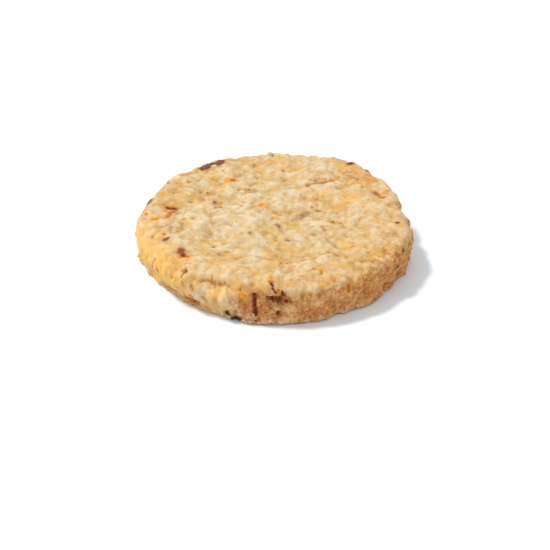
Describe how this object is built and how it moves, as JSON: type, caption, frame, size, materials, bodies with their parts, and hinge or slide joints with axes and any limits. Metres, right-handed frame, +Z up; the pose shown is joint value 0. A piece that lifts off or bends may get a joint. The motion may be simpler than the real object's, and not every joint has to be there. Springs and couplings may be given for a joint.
{
  "type": "oat biscuit",
  "caption": "Round, thick, pale-golden oat biscuit with a gently uneven top, a rough crumbly wall, and pieces of dried cranberry and orange peel.",
  "frame": {"origin": "middle of the box's underside, on the surface that the biscuit rests on", "axes": "+Z up through the thickness, +X to the right and -Y to the front as it is seen"},
  "size_m": [0.0692, 0.0692, 0.012],
  "materials": {
    "baked_crumb": "matte, crumbly, pale golden baked dough, a little browner on the wall and the underside",
    "dried_cranberry": "satin, wrinkled, dark purple-red dried fruit",
    "orange_peel": "satin, translucent orange candied peel",
    "oat_flake": "matte, pale, papery rolled oat"
  },
  "bodies": {
    "root": {"biscuit": "baked_crumb"}
  },
  "joints": []
}
